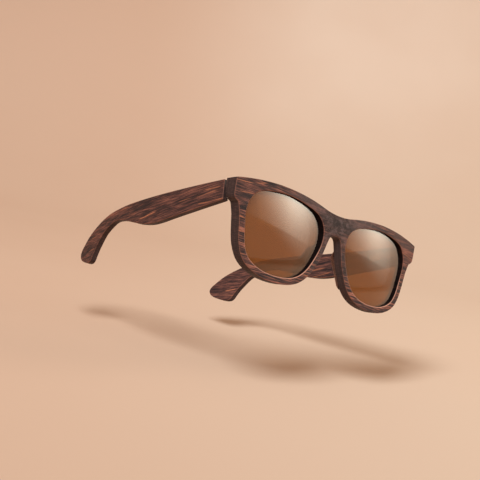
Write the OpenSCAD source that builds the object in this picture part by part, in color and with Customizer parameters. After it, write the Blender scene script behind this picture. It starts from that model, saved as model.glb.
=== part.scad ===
// Wooden sunglasses: one milled wooden front, two spherical lenses held in grooves, and two
// bowed wooden temples on sprung metal hinges.
// The glasses stand as they do on a table: rims and temple ends down, lenses facing -Y.
// Millimetres. +Z is up, the wearer's left is +X, the temples run back along +Y.

/* [Front] */
// Width of one lens opening
lens_w = 54; // [50:0.5:57]
// Height of one lens opening
lens_h = 41; // [36:0.5:45]
// Distance between the two lens openings
bridge_w = 18.5; // [16:0.5:22]
// Wood outside each lens opening, out to the side of the end piece
end_w = 9.25; // [8.75:0.25:11]
// Thickness of the front board
board_t = 5.9; // [5.7:0.1:6.6]
// Radius that the front board is bowed to
wrap_r = 687; // [450:1:1200]
// Width of the rim below the lens and beside the nose
rim_w = 3.5; // [2.8:0.1:4.5]
// Width of the rim beside the temple
side_w = 3.9; // [3:0.1:4.5]
// Height of the wood above the top of the lens opening
brow_h = 3.9; // [3:0.1:5]
// Radius of the long curve of the brow
brow_r = 137; // [115:1:180]
// How far the middle of the bridge dips below the highest point of the brow
saddle_d = 4.5; // [3.5:0.1:5.5]
// Height of the bridge in the middle
bridge_h = 11; // [8:0.1:12]
// Width of the arch under the bridge
arch_w = 10.4; // [9:0.1:11.5]
// Height of the side of the end piece
end_h = 10; // [9:0.1:10.5]

/* [Lenses] */
// Radius of the front surface of the lens
lens_r = 96; // [92:1:130]
// Thickness of the lens
lens_t = 1.3; // [1:0.1:1.6]
// How far the lens reaches into the groove in the rim
lens_bite = 0.65; // [0.4:0.05:0.9]
// Depth of the middle of the lens below the front face
lens_sink = 0.3; // [0.2:0.05:0.6]
// Angle that each lens turns outward
lens_turn = 2.3; // [1.8:0.1:2.8]

/* [Nose pads] */
// How far the nose pads stand out behind the front board
pad_d = 4.2; // [3:0.1:5]
// Half width of a nose pad where it meets the board
pad_r = 1.7; // [1.4:0.05:2]
// How far the back of a pad leans away from the nose
pad_lean = 1.9; // [1:0.1:2.4]

/* [Temples] */
// Length of a temple from the hinge pin to its tip
temple_l = 137.5; // [128:0.5:145]
// Thickness of a temple
temple_t = 3.6; // [3.4:0.1:4.4]
// Radius that the temples bow inward to
bow_r = 526; // [420:1:900]
// Height of a temple above the middle of the hinge
temple_up = 5.3; // [4.8:0.05:5.7]
// Height of a temple below the middle of the hinge
temple_down = 5.1; // [4.6:0.1:5.5]
// Depth of the broad part of a temple below the middle of the hinge
belly_d = 9.1; // [8:0.1:10.5]
// Depth of the narrow neck before the ear, below the middle of the hinge
neck_d = 1.3; // [0.8:0.1:2.2]
// Drop of the ear end, from the top edge at the hinge down to the tip
ear_drop = 26.1; // [25:0.1:26.5]
// Slope of the temples, down toward the ears
slope = 8; // [6:0.5:10]

/* [Hinges] */
// Gap between the end piece and the front of the temple
butt_gap = 1.5; // [1.3:0.1:1.8]
// Distance from the outside of the temple to the hinge pin
pin_in = 5.5; // [5.4:0.1:5.8]
// Distance from the end piece to the hinge pin
pin_back = 2; // [1.9:0.05:2.2]
// Outside radius of the hinge knuckles
knuckle_r = 1.4; // [1.3:0.05:1.45]
// Radius of the pivot screw's shank
pivot_r = 0.6; // [0.5:0.05:0.7]
// Thickness of the middle knuckle, on the slider
eye_t = 1.6; // [1.4:0.1:1.7]
// Thickness of each outer knuckle, on the front leaf
ear_t = 1.3; // [1.1:0.1:1.4]
// Thickness of the front leaf's plate
leaf_t = 0.9; // [0.7:0.1:1]
// Height of the front leaf's plate
leaf_h = 8.4; // [8.2:0.1:8.8]
// Width of the slider's bar
bar_w = 1.6; // [1.4:0.1:1.7]
// Length of the spring case
case_l = 12; // [11.6:0.1:13]
// Height of the spring case
case_h = 4; // [3.8:0.1:4.2]
// How deep the spring case is let into the temple
case_let = 1; // [0.8:0.1:1.2]
// Thickness of the case's screw flange
flange_t = 0.8; // [0.7:0.05:0.9]
// Length of the case's screw flange
flange_l = 7; // [6.6:0.1:8]
// Mean radius of the spring's coils
coil_r = 0.85; // [0.8:0.01:0.9]
// Radius of the spring's wire
wire_r = 0.15; // [0.12:0.01:0.17]
// Number of coils in the spring
coils = 6; // [4:1:6]

/* [Clearances] */
// Space between a lens and its groove
lens_clear = 0.05; // [0.03:0.01:0.1]
// Space round the pivot screw in the knuckles
pivot_clear = 0.04; // [0.02:0.01:0.08]
// Space between the knuckles
knuckle_clear = 0.06; // [0.04:0.01:0.1]
// Space round metal let into wood
let_clear = 0.05; // [0.03:0.01:0.1]
// Space round the slider in its case
slide_clear = 0.1; // [0.06:0.01:0.14]

/* [Hidden] */
$fn = 48;

half_w = bridge_w / 2 + lens_w + end_w;
lens_cx = bridge_w / 2 + lens_w / 2;
lens_cz = rim_w + lens_h / 2;

// Brow: a long flat curve with its crown over the lens, blended into a saddle at the bridge.
crown_x = lens_cx + 5;
crown_z = lens_cz + lens_h / 2 + brow_h - 0.2;
blend_x = crown_x - 2 * brow_r * saddle_d / crown_x;
saddle_r = brow_r * blend_x / (crown_x - blend_x);
function brow(x) = x < blend_x
    ? crown_z - saddle_d + x * x / (2 * saddle_r)
    : crown_z - pow(x - crown_x, 2) / (2 * brow_r);
arch_z = crown_z - saddle_d - bridge_h;
end_top = brow(half_w);
end_low = end_top - end_h;
// Slopes of the flat on top of the end piece, toward the temple and toward the bridge
end_fall = 5;
end_tilt = 16;

// Hinge pin: pin_in from the outside of the temple, at mid height of the end piece.
pin_x = half_w - pin_in;
pin_z = end_top - 6.4;
tip_y = temple_l * cos(slope) - (ear_drop * 0.785 - temple_up) * sin(slope);
lug_y = board_t + pow(half_w, 2) / (2 * wrap_r) + 0.7;
pin_y0 = lug_y + pin_back;
total_d = pin_y0 + tip_y;
front_y = -total_d / 2;
pin_y = front_y + pin_y0;

// Front and back of the board at a distance x from the middle.
function face_y(x) = front_y + wrap_r - sqrt(wrap_r * wrap_r - x * x);
function back_y(x) = front_y + wrap_r - sqrt(pow(wrap_r - board_t, 2) - x * x);

// Smooth curves through chosen points.
function curve(a, b, c, d, t) = 0.5 * (2 * b + (c - a) * t
    + (2 * a - 5 * b + 4 * c - d) * t * t + (3 * b - a - 3 * c + d) * t * t * t);
function closed_curve(p, n) = let (k = len(p))
    [for (i = [0 : k - 1]) for (j = [0 : n - 1])
        curve(p[(i + k - 1) % k], p[i], p[(i + 1) % k], p[(i + 2) % k], j / n)];
function open_curve(p, n) = let (k = len(p))
    [for (i = [0 : k - 2]) for (j = [0 : n - 1])
        curve(p[max(i - 1, 0)], p[i], p[i + 1], p[min(i + 2, k - 1)], j / n)];
function outward(p, i) = let (k = len(p), d = p[(i + 1) % k] - p[(i + k - 1) % k])
    [d[1], -d[0]] / norm(d);
function grown(p, g) = [for (i = [0 : len(p) - 1]) p[i] + g * outward(p, i)];
function flipped(p) = [for (i = [len(p) - 1 : -1 : 0]) [-p[i][0], p[i][1]]];

// Lens opening, as shares of its half width and half height from its middle:
// temple side, top, nose side, bottom.
lens_shape = [[0.97, 0], [1, 0.3], [0.96, 0.58], [0.8, 0.83], [0.5, 0.95], [0.05, 1],
    [-0.42, 0.93], [-0.78, 0.79], [-0.97, 0.52], [-0.99, 0.15], [-0.87, -0.27],
    [-0.67, -0.67], [-0.4, -0.91], [0, -1], [0.42, -0.955], [0.74, -0.77], [0.89, -0.48]];
steps = 5;
lens_edge = closed_curve([for (p = lens_shape)
    [lens_cx + p[0] * lens_w / 2, lens_cz + p[1] * lens_h / 2]], steps);

// Outside of the rim: the lens opening grown by the rim's width, wider toward the temple.
function rim_here(i) = let (u = (lens_edge[i][0] - lens_cx) / (lens_w / 2))
    rim_w + (side_w - rim_w) * max(0, min(1, (u - 0.6) / 0.35));
function rim_point(i, share) = lens_edge[i] + share * rim_here(i) * outward(lens_edge, i);
rim_last = 9 * steps + 2;
rim_first = 3;
rim_path = concat([for (i = [rim_first : -1 : 0]) rim_point(i, 1)],
    [for (i = [len(lens_edge) - 1 : -1 : rim_last]) rim_point(i, 1)]);

brow_path = [for (i = [1 : 24]) let (x = (half_w - 0.8) * i / 24) [x, brow(x)]];
end_path = open_curve([[half_w - 0.25, end_top - 0.2], [half_w, end_top - 0.9],
    [half_w - 0.15, end_low + 2.6], [half_w - 0.75, end_low + 0.3],
    [half_w - 2.2, end_low - 0.9], [half_w - 3.6, end_low - 1.9], rim_path[0]], 3);
arch_path = open_curve([rim_path[len(rim_path) - 1], [arch_w * 0.48, arch_z - 3.4],
    [arch_w * 0.37, arch_z - 1.2], [arch_w * 0.21, arch_z - 0.25], [0, arch_z]], 3);
half_path = concat(brow_path, end_path, rim_path,
    [for (i = [1 : len(arch_path) - 1]) arch_path[i]]);
front_path = concat([[0, brow(0)]], half_path, [[0, arch_z]], flipped(half_path));

// An outline drawn in X and Z, carried along Y.
module upright(path, y0, y1)
    translate([0, y1, 0]) rotate([90, 0, 0]) linear_extrude(height = y1 - y0) polygon(path);

// The hinge's own frame: X outward, Y along the temple, Z up the pin. Side 1 is the left.
module at_hinge(side = 1) translate([side * pin_x, pin_y, pin_z]) rotate([-slope, 0, 0]) children();

// A box from one corner to the other.
module block(a, b) translate(a) cube(b - a);

// A round bar along Y.
module bar_y(r, y0, y1) translate([0, y0, 0]) rotate([-90, 0, 0]) cylinder(r = r, h = y1 - y0);

// Lens and groove: a slice of a ball behind the front face.
lens_apex_y = face_y(lens_cx) + lens_sink;
module lens_shell(extra)
    translate([lens_cx - lens_r * sin(lens_turn), lens_apex_y + lens_r * cos(lens_turn), lens_cz])
        difference() {
            sphere(r = lens_r + extra, $fn = 96);
            sphere(r = lens_r - lens_t - extra, $fn = 96);
        }
module lens_slice(bite, extra) intersection() {
    upright(grown(lens_edge, bite), front_y - 1, front_y + board_t + 5);
    lens_shell(extra);
}

// Front leaf
leaf_in = 2.2;
leaf_out = 4.3;
leaf_screw_x = 2.95;
leaf_screw_z = 2.75;
leaf_screw_l = 4;
screw_r = 0.55;
head_r = 1.05;
head_t = 0.6;
ear_z = eye_t / 2 + knuckle_clear;

module leaf_screw() {
    rotate([90, 0, 0]) difference() {
        union() {
            cylinder(r1 = head_r, r2 = screw_r, h = head_t);
            cylinder(r = screw_r, h = leaf_screw_l - 0.6);
            translate([0, 0, leaf_screw_l - 0.6]) cylinder(r1 = screw_r, r2 = 0.15, h = 0.6);
        }
        translate([-head_r, -0.12, -0.1]) cube([2 * head_r, 0.24, 0.35]);
    }
}
module screw_hole(l) rotate([90, 0, 0]) {
    translate([0, 0, -0.01]) cylinder(r1 = head_r + let_clear, r2 = screw_r + let_clear,
        h = head_t + 0.02);
    cylinder(r = screw_r + let_clear, h = l);
}
module leaf_screw_places() for (s = [-1, 1])
    translate([leaf_screw_x, -pin_back, s * leaf_screw_z]) children();

// Spring case, in the hinge's frame
inner_x = pin_in - temple_t;
case_x0 = -1.5;
case_x1 = inner_x + case_let;
case_y0 = knuckle_r + 0.5;
case_y1 = case_y0 + case_l;
bar_end = case_y0 + 4.3;
slot_end = bar_end + 0.2;
chamber_y = slot_end + 1;
rod_r = 0.42;
collar_y = chamber_y + 4.6;
collar_t = 0.6;
rod_end = collar_y + collar_t + 0.1;
case_screw_y = [case_y1 + 2, case_y1 + flange_l - 1.6];
case_screw_l = 2.3;

module case_screw() rotate([0, 90, 0]) difference() {
    union() {
        cylinder(r1 = head_r, r2 = screw_r, h = head_t);
        cylinder(r = screw_r, h = case_screw_l - 0.4);
        translate([0, 0, case_screw_l - 0.4]) cylinder(r1 = screw_r, r2 = 0.15, h = 0.4);
    }
    translate([-head_r, -0.12, -0.1]) cube([2 * head_r, 0.24, 0.35]);
}
module case_screw_hole(l) rotate([0, 90, 0]) {
    translate([0, 0, -0.01]) cylinder(r1 = head_r + let_clear, r2 = screw_r + let_clear,
        h = head_t + 0.02);
    cylinder(r = screw_r + let_clear, h = l);
}
module case_screw_places() for (y = case_screw_y)
    translate([case_x1 - flange_t, y, 0]) children();

// Temple outline in the hinge's frame, along Y and up Z. The first number of each pair is a
// share of the length. The second is a rise over the top edge, a share of the drop of the ear
// end, or a share of the way from the neck down to the broad part.
temple_top = [[0.18, 0.2], [0.44, 0.55], [0.58, 0.55], [0.665, 0]];
ear_end = [[0.745, 0.045], [0.83, 0.162], [0.918, 0.36], [0.977, 0.58], [0.997, 0.685], [1, 0.785],
    [0.985, 0.88], [0.95, 0.955], [0.91, 1], [0.884, 0.965], [0.866, 0.84], [0.847, 0.718],
    [0.827, 0.61], [0.807, 0.512], [0.785, 0.425], [0.737, 0.314]];
temple_under = [[0.69, 0], [0.63, 0.1], [0.565, 0.4], [0.495, 0.75], [0.42, 0.98], [0.355, 1]];
butt_y = butt_gap - pin_back;
temple_path = concat(
    [[butt_y, -temple_down], [butt_y, temple_up]],
    open_curve(concat([[0, temple_up]],
        [for (p = temple_top) [p[0] * temple_l, temple_up + p[1]]],
        [for (p = ear_end) [p[0] * temple_l, temple_up - p[1] * ear_drop]],
        [for (p = temple_under) [p[0] * temple_l, -neck_d - p[1] * (belly_d - neck_d)]],
        [[0.26 * temple_l, -belly_d + 0.95], [0.145 * temple_l, -temple_down - 1.85],
            [0, -temple_down - 0.08]]), 3));

// The temple board: a curved sheet that leaves the hinge straight back and bows inward.
module bowed_sheet(x0, x1) difference() {
    translate([pin_in - bow_r, 0, -60]) cylinder(r = bow_r - (pin_in - x1), h = 120, $fn = 720);
    translate([pin_in - bow_r, 0, -61]) cylinder(r = bow_r - (pin_in - x0), h = 122, $fn = 720);
}

// One unbroken coil of wire along Y
spring_y0 = chamber_y + 0.02;
spring_l = collar_y - 0.02 - spring_y0 - 2 * wire_r;
ring_n = 8 * coils;
wire_sides = 6;
spring_gap = spring_l / coils - 2 * wire_r;
echo(spring_gap = spring_gap);
spring_points = [for (i = [0 : ring_n]) for (j = [0 : wire_sides - 1])
    let (a = 360 * coils * i / ring_n, b = 360 * j / wire_sides,
        r = coil_r + wire_r * cos(b))
    [r * cos(a), spring_y0 + wire_r + spring_l * i / ring_n + wire_r * sin(b), r * sin(a)]];
spring_faces = concat([[for (j = [0 : wire_sides - 1]) j]],
    [for (i = [0 : ring_n - 1]) for (j = [0 : wire_sides - 1])
        let (a = i * wire_sides + j, b = i * wire_sides + (j + 1) % wire_sides)
        [a, a + wire_sides, b + wire_sides, b]],
    [[for (j = [wire_sides - 1 : -1 : 0]) ring_n * wire_sides + j]]);

module front_frame() color("#4a2f24") difference() {
    union() {
        intersection() {
            upright(front_path, front_y - 1, front_y + board_t + 6);
            translate([0, front_y + wrap_r, -1]) difference() {
                cylinder(r = wrap_r, h = crown_z + 2, $fn = 720);
                translate([0, 0, -1]) cylinder(r = wrap_r - board_t, h = crown_z + 4, $fn = 720);
            }
        }
        for (m = [0, 1]) mirror([m, 0, 0]) intersection() {
            upright(front_path, front_y, front_y + board_t + 12);
            at_hinge() block([-(pin_x - half_w + end_w - 0.3), -pin_back - board_t / 2, -5.3],
                [pin_in + 3, -pin_back, 12]);
        }
    }
    for (m = [0, 1]) mirror([m, 0, 0]) {
        // The top of the end piece falls away toward the temple
        translate([half_w, face_y(half_w), end_top]) rotate([-end_fall, end_tilt, 0])
            block([-14, -4, 0], [6, 20, 8]);
        upright(lens_edge, front_y - 2, front_y + board_t + 12);
        lens_slice(lens_bite + lens_clear, lens_clear);
        at_hinge() {
            block([-leaf_in - let_clear, -pin_back - leaf_t, -leaf_h / 2 - let_clear],
                [leaf_out + let_clear, -pin_back + 1, leaf_h / 2 + let_clear]);
            leaf_screw_places() rotate([90, 0, 0])
                cylinder(r = screw_r + let_clear, h = leaf_screw_l + 0.2);
        }
    }
}

module lens_left() color("#8a4f2a") lens_slice(lens_bite, 0);
module lens_right() color("#8a4f2a") mirror([1, 0, 0]) lens_slice(lens_bite, 0);

// Nose pad: a wedge glued to the back of the rim, splayed away from the nose.
pad_top = rim_point(rim_last - 1, 0.5);
pad_low = rim_point(11 * steps, 0.5);
pad_mid = (pad_top[0] + pad_low[0]) / 2;
ridge_r = 0.8;
module nose_pad() intersection() {
    hull() {
        for (p = [pad_top, pad_low])
            translate([p[0], back_y(p[0]) - 0.5, p[1]]) sphere(r = pad_r, $fn = 24);
        for (p = [pad_top + [pad_lean, -1.5], pad_low + [pad_lean, 1]])
            translate([p[0], back_y(p[0]) + pad_d - ridge_r, p[1]]) sphere(r = ridge_r, $fn = 24);
    }
    translate([pad_mid, back_y(pad_mid) + 0.02, -1]) rotate([0, 0, asin(pad_mid / (wrap_r - board_t))])
        block([-20, 0, 0], [20, 20, crown_z]);
}
module nose_pad_left() color("#3f2a20") nose_pad();
module nose_pad_right() color("#3f2a20") mirror([1, 0, 0]) nose_pad();

// Front leaf: a plate let into the end piece, with two knuckles for the pivot screw.
module front_leaf() at_hinge() difference() {
    union() {
        block([-leaf_in, -pin_back - leaf_t, -leaf_h / 2], [leaf_out, -pin_back, leaf_h / 2]);
        for (s = [0, 1]) mirror([0, 0, s]) {
            block([-knuckle_r, -pin_back - leaf_t / 2, ear_z], [knuckle_r, 0, ear_z + ear_t]);
            translate([0, 0, ear_z]) cylinder(r = knuckle_r, h = ear_t);
        }
    }
    translate([0, 0, -4]) cylinder(r = pivot_r + pivot_clear, h = 8);
    leaf_screw_places() screw_hole(leaf_t + 1);
}
module front_leaf_left() color("#8f8f94") front_leaf();
module front_leaf_right() color("#8f8f94") mirror([1, 0, 0]) front_leaf();

module leaf_screws() at_hinge() leaf_screw_places() leaf_screw();
module leaf_screws_left() color("#a5a5aa") leaf_screws();
module leaf_screws_right() color("#a5a5aa") mirror([1, 0, 0]) leaf_screws();

// Pivot screw: a slotted head over the upper knuckle.
module pivot_screw() at_hinge() difference() {
    union() {
        translate([0, 0, -ear_z - ear_t - 0.25]) cylinder(r = pivot_r, h = 2 * (ear_z + ear_t) + 0.3);
        translate([0, 0, ear_z + ear_t + 0.03]) cylinder(r = knuckle_r - 0.2, h = 0.65);
    }
    translate([-2, -0.14, ear_z + ear_t + 0.4]) cube([4, 0.28, 1]);
}
module pivot_screw_left() color("#a5a5aa") pivot_screw();
module pivot_screw_right() color("#a5a5aa") mirror([1, 0, 0]) pivot_screw();

// Slider: the middle knuckle, a square bar, and the rod that carries the spring.
module slider() at_hinge() difference() {
    union() {
        translate([0, 0, -eye_t / 2]) cylinder(r = knuckle_r, h = eye_t);
        block([-bar_w / 2, 0, -eye_t / 2], [bar_w / 2, bar_end, eye_t / 2]);
        bar_y(rod_r, bar_end - 0.5, rod_end);
    }
    translate([0, 0, -3]) cylinder(r = pivot_r + pivot_clear, h = 6);
}
module slider_left() color("#9a9aa0") slider();
module slider_right() color("#9a9aa0") mirror([1, 0, 0]) slider();

// Stop collar: a ring staked on the end of the rod, which the spring pushes on.
module stop_collar() at_hinge() difference() {
    bar_y(coil_r + wire_r, collar_y, collar_y + collar_t);
    bar_y(rod_r + 0.02, collar_y - 1, collar_y + 2);
}
module stop_collar_left() color("#b08d57") stop_collar();
module stop_collar_right() color("#b08d57") mirror([1, 0, 0]) stop_collar();

module spring() polyhedron(spring_points, spring_faces);
module spring_left() color("#c0c0c4") at_hinge(1) spring();
module spring_right() color("#c0c0c4") at_hinge(-1) spring();

// Spring case: a guide for the bar, a wall that the spring pushes on, and a round chamber.
module spring_case() at_hinge() difference() {
    union() {
        block([case_x0, case_y0, -case_h / 2], [case_x1, case_y1, case_h / 2]);
        block([case_x1 - flange_t, case_y1 - 1, -case_h / 2],
            [case_x1, case_y1 + flange_l, case_h / 2]);
    }
    block([-bar_w / 2 - slide_clear, case_y0 - 1, -eye_t / 2 - slide_clear],
        [bar_w / 2 + slide_clear, slot_end, eye_t / 2 + slide_clear]);
    bar_y(rod_r + slide_clear, slot_end - 1, chamber_y + 1);
    bar_y(coil_r + wire_r + 0.13, chamber_y, case_y1 + 1);
    case_screw_places() case_screw_hole(flange_t + 1);
}
module spring_case_left() color("#8f8f94") spring_case();
module spring_case_right() color("#8f8f94") mirror([1, 0, 0]) spring_case();

module case_screws() at_hinge() case_screw_places() case_screw();
module case_screws_left() color("#a5a5aa") case_screws();
module case_screws_right() color("#a5a5aa") mirror([1, 0, 0]) case_screws();

// Temple: a bowed board with a broad middle, a neck and a dropped ear end.
module temple() at_hinge() difference() {
    intersection() {
        rotate([90, 0, 90]) translate([0, 0, -40]) linear_extrude(height = 60) polygon(temple_path);
        bowed_sheet(inner_x, pin_in);
    }
    block([-5, case_y0 - let_clear, -case_h / 2 - let_clear],
        [case_x1, case_y1 + flange_l + let_clear, case_h / 2 + let_clear]);
    case_screw_places() rotate([0, 90, 0])
        cylinder(r = screw_r + let_clear, h = case_screw_l + 0.15);
}
module temple_left() color("#55362a") temple();
module temple_right() color("#55362a") mirror([1, 0, 0]) temple();

front_frame();
lens_left();
lens_right();
nose_pad_left();
nose_pad_right();
front_leaf_left();
front_leaf_right();
leaf_screws_left();
leaf_screws_right();
pivot_screw_left();
pivot_screw_right();
slider_left();
slider_right();
stop_collar_left();
stop_collar_right();
spring_left();
spring_right();
spring_case_left();
spring_case_right();
case_screws_left();
case_screws_right();
temple_left();
temple_right();
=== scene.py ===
"""Wooden sunglasses, dressed for the render. Metres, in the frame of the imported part:
+X is the wearer's left, +Y runs back along the temples, +Z is up."""
import math
import bmesh
import bpy
import numpy as np
from mathutils import Matrix, Vector
from mathutils.geometry import delaunay_2d_cdt


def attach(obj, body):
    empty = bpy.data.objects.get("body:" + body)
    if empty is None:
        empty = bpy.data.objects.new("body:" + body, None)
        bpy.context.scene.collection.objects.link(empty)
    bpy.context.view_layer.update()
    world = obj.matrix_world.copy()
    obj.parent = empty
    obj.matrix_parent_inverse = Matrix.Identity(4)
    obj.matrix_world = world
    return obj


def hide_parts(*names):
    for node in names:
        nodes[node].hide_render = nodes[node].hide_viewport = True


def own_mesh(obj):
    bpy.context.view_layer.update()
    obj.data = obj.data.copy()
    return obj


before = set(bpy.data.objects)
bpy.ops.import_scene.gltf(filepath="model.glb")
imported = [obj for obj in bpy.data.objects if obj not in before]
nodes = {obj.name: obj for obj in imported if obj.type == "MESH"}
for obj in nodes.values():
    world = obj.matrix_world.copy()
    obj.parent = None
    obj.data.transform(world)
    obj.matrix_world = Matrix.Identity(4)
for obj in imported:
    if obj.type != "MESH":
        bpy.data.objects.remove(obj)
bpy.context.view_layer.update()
scene = bpy.context.scene
scene.view_settings.view_transform = "Standard"
MM = 0.001
SLOPE = math.radians(8)

# ---- Camera, at the photograph's place -------------------------------------------------------
CAM_RIGHT = Vector((0.70298, -0.6861, 0.18731))
CAM_UP = Vector((-0.23587, 0.02355, 0.9715))
CAM_BACK = Vector((-0.67096, -0.72712, -0.14528))
CAM_AT = Vector((-0.38558, -0.41892, -0.05428))


def frame_of(right, up, back, at):
    m = Matrix((right, up, back)).transposed().to_4x4()
    m.translation = at
    return m


camera = bpy.data.objects.new("camera", bpy.data.cameras.new("camera"))
camera.data.lens = 75
camera.data.sensor_width = 36
camera.data.clip_start, camera.data.clip_end = 0.01, 20
camera.matrix_world = frame_of(CAM_RIGHT, CAM_UP, CAM_BACK, CAM_AT)
scene.collection.objects.link(camera)
scene.camera = camera


# ---- Measures of the CAD model, in millimetres -------------------------------------------------
HALF_W, BRIDGE_W, LENS_W, LENS_H, END_H = 72.5, 18.5, 54.0, 41.0, 10.0
END_FALL, END_TILT = math.radians(5), math.radians(16)
BOARD_T, WRAP_R, RIM_W, SIDE_W, BROW_H, BROW_R = 5.9, 687.0, 3.5, 3.9, 3.9, 137.0
SADDLE_D, BRIDGE_H, ARCH_W = 4.5, 11.0, 10.4
LENS_R, LENS_T, LENS_BITE, LENS_SINK, LENS_CLEAR = 96.0, 1.3, 0.65, 0.3, 0.05
LENS_TURN = math.radians(2.3)
TEMPLE_L, TEMPLE_T, BOW_R, PIN_IN = 137.5, 3.6, 526.0, 5.5
TEMPLE_UP, TEMPLE_DOWN, BELLY_D, NECK_D, EAR_DROP = 5.3, 5.1, 9.1, 1.3, 26.1
PIN = Vector((67.0, -60.81122, 38.235903))
FRONT_Y = -73.2367
LENS_CX, LENS_CZ = BRIDGE_W / 2 + LENS_W / 2, RIM_W + LENS_H / 2
CROWN_X, CROWN_Z = LENS_CX + 5, LENS_CZ + LENS_H / 2 + BROW_H - 0.2
BLEND_X = CROWN_X - 2 * BROW_R * SADDLE_D / CROWN_X
SADDLE_R = BROW_R * BLEND_X / (CROWN_X - BLEND_X)
LENS_SHAPE = ((0.97, 0), (1, 0.3), (0.96, 0.58), (0.8, 0.83), (0.5, 0.95), (0.05, 1),
    (-0.42, 0.93), (-0.78, 0.79), (-0.97, 0.52), (-0.99, 0.15), (-0.87, -0.27),
    (-0.67, -0.67), (-0.4, -0.91), (0, -1), (0.42, -0.955), (0.74, -0.77), (0.89, -0.48))
TEMPLE_TOP = ((0.18, 0.2), (0.44, 0.55), (0.58, 0.55), (0.665, 0))
EAR_END = ((0.745, 0.045), (0.83, 0.162), (0.918, 0.36), (0.977, 0.58), (0.997, 0.685), (1, 0.785),
    (0.985, 0.88), (0.95, 0.955), (0.91, 1), (0.884, 0.965), (0.866, 0.84), (0.847, 0.718),
    (0.827, 0.61), (0.807, 0.512), (0.785, 0.425), (0.737, 0.314))
TEMPLE_UNDER = ((0.69, 0), (0.63, 0.1), (0.565, 0.4), (0.495, 0.75), (0.42, 0.98), (0.355, 1))
STEPS = 15
# Radii of the broken edges, and the boxes that the hinge is let into or that trim the end pieces
FRONT_EDGE_R, BACK_EDGE_R, HINGE_EDGE_R = 0.32, 1.2, 0.05
OPENING_EDGE_R, TEMPLE_EDGE_R, LUG_EDGE_R = (0.55, 0.4), (0.35, 0.45), 0.3
LEAF_POCKET = ((-2.25, -2.9, -4.25), (4.35, -0.5, 4.25))
CASE_POCKET = ((-5, 1.85, -2.05), (2.9, 20.95, 2.05))
END_CUT = ((-14, -4, 0), (6, 20, 8))
# The rebuilt front is a little thicker than the CAD's, and the pads start there
SKIN = 0.02
# Back of an end piece: inner and lower sides, inset, gap to the pin, and a point inside it
LUG_IN, LUG_LOW, LUG_INSET, LUG_GAP, LUG_MID = HALF_W - 8.95, PIN.z - 5.1, 0.012, 2.0, (67, 39)
# The rounder back edge of the rims ends here, and fades over this width
RIMS_TO, RIMS_FADE = 66.5, 4
# Nose pads begin and end beside these points of the lens edge
PAD_ENDS = (46 * STEPS // 5, 11 * STEPS)
PAD_R, PAD_D, PAD_LEAN, RIDGE_R, PAD_SUNK = 1.7, 4.2, 1.9, 0.8, 0.5
COILS, COIL_R, WIRE_R, SPRING_FROM, SPRING_TO, SLIDE = 6, 0.85, 0.15, 7.42, 11.98, 1.2


# ---- Node helpers ----------------------------------------------------------------------------
class Nodes:
    """The node tree of a material or a world, written from its inputs to its shader."""

    def __init__(self, owner, out="OutputMaterial"):
        owner.use_nodes = True
        self.owner, self.tree = owner, owner.node_tree
        self.tree.nodes.clear()
        self.out = self.add(out)

    def put(self, socket, value):
        """Links an input to another node, or sets its own value."""
        if isinstance(value, bpy.types.NodeSocket):
            self.tree.links.new(value, socket)
        else:
            socket.default_value = value

    def add(self, kind, inputs=None, **settings):
        n = self.tree.nodes.new("ShaderNode" + kind)
        for k, v in settings.items():
            setattr(n, k, v)
        for k, v in (inputs or {}).items():
            self.put(n.inputs[k], v)
        return n

    def show(self, shader):
        self.tree.links.new(shader.outputs[0], self.out.inputs[0])
        return self.owner

    def math(self, op, a, b=0.0):
        return self.add("Math", {0: a, 1: b}, operation=op).outputs[0]

    def plus(self, a, b):
        return self.math("ADD", a, b)

    def minus(self, a, b):
        return self.math("SUBTRACT", a, b)

    def times(self, a, b):
        return self.math("MULTIPLY", a, b)

    def size(self, a):
        return self.math("ABSOLUTE", a)

    def vec(self, op, a, b=(0, 0, 0)):
        return self.add("VectorMath", {0: a, 1: b}, operation=op).outputs[0]

    def dot(self, a, b):
        return self.add("VectorMath", {0: a, 1: b}, operation="DOT_PRODUCT").outputs["Value"]

    def parts(self, vector):
        """The X, Y and Z of a vector."""
        return self.add("SeparateXYZ", {0: vector}).outputs

    def noise(self, at, scale, detail=2.0, rough=0.5):
        return self.add("TexNoise", {"Vector": self.vec("MULTIPLY", at, scale), "Scale": 1.0,
            "Detail": detail, "Roughness": rough}).outputs["Fac"]

    def ramp(self, at, *stops):
        n = self.add("ValToRGB", {"Fac": at})
        e = n.color_ramp.elements
        while len(e) < len(stops):
            e.new(0.5)
        for el, (pos, col) in zip(e, stops):
            el.position = pos
            el.color = (*col, 1)
        return n.outputs["Color"]

    def span(self, at, low, high, to_low=0.0, to_high=1.0):
        """A smooth step from one value to another."""
        return self.add("MapRange", {"Value": at, "From Min": low, "From Max": high,
            "To Min": to_low, "To Max": to_high}, interpolation_type="SMOOTHSTEP").outputs[0]

    def mix(self, share, a, b, blend="MIX"):
        n = self.add("Mix", data_type="RGBA", blend_type=blend)
        for socket, v in ((n.inputs[0], share), (n.inputs[6], a), (n.inputs[7], b)):
            self.put(socket, (*v, 1) if isinstance(v, tuple) else v)
        return n.outputs[2]

    def bump(self, height, distance, strength):
        return self.add("Bump", {"Height": height, "Distance": distance,
            "Strength": strength}).outputs[0]

    def surface(self, **inputs):
        return self.show(self.add("BsdfPrincipled",
            {k.replace("_", " "): v for k, v in inputs.items()}))


# ---- Wood --------------------------------------------------------------------------------------
TO_MM = (1000, 1000, 1000)
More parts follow.
